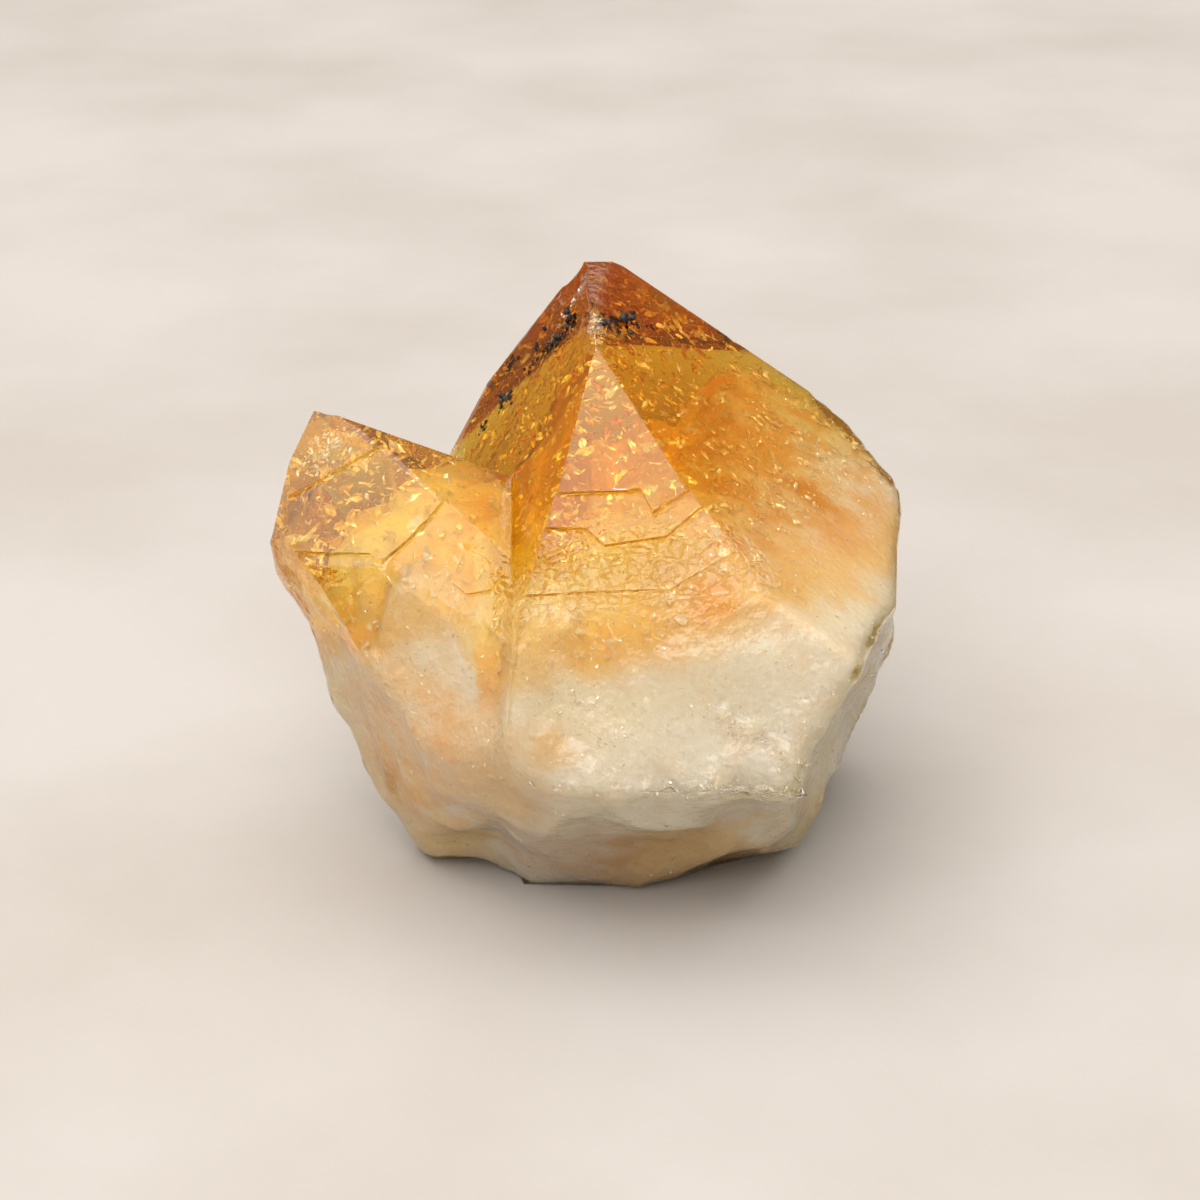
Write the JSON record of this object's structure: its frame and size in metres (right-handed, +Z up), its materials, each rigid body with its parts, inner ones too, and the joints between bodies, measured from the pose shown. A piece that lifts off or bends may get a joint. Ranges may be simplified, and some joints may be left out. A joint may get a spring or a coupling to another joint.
{
  "type": "citrine crystal point",
  "caption": "Natural citrine quartz point: a large and a small six-sided crystal grown together, amber at the tips, broken off a milky base.",
  "frame": {"origin": "the middle of the bounding box's floor, where the crystal rests on its broken base", "axes": "+Z up, +X to the right and +Y to the back, seen from the side where the small triangular face looks at the viewer"},
  "size_m": [0.0416, 0.038, 0.0358],
  "materials": {
    "citrine": "natural growth faces, clear amber tips, frosted prism faces",
    "milky_quartz": "cloudy quartz under the skin of the lower half",
    "iron_oxide": "dark inclusions near the tip"
  },
  "bodies": {
    "root": {"citrine_crystal_point": "citrine"}
  },
  "joints": []
}
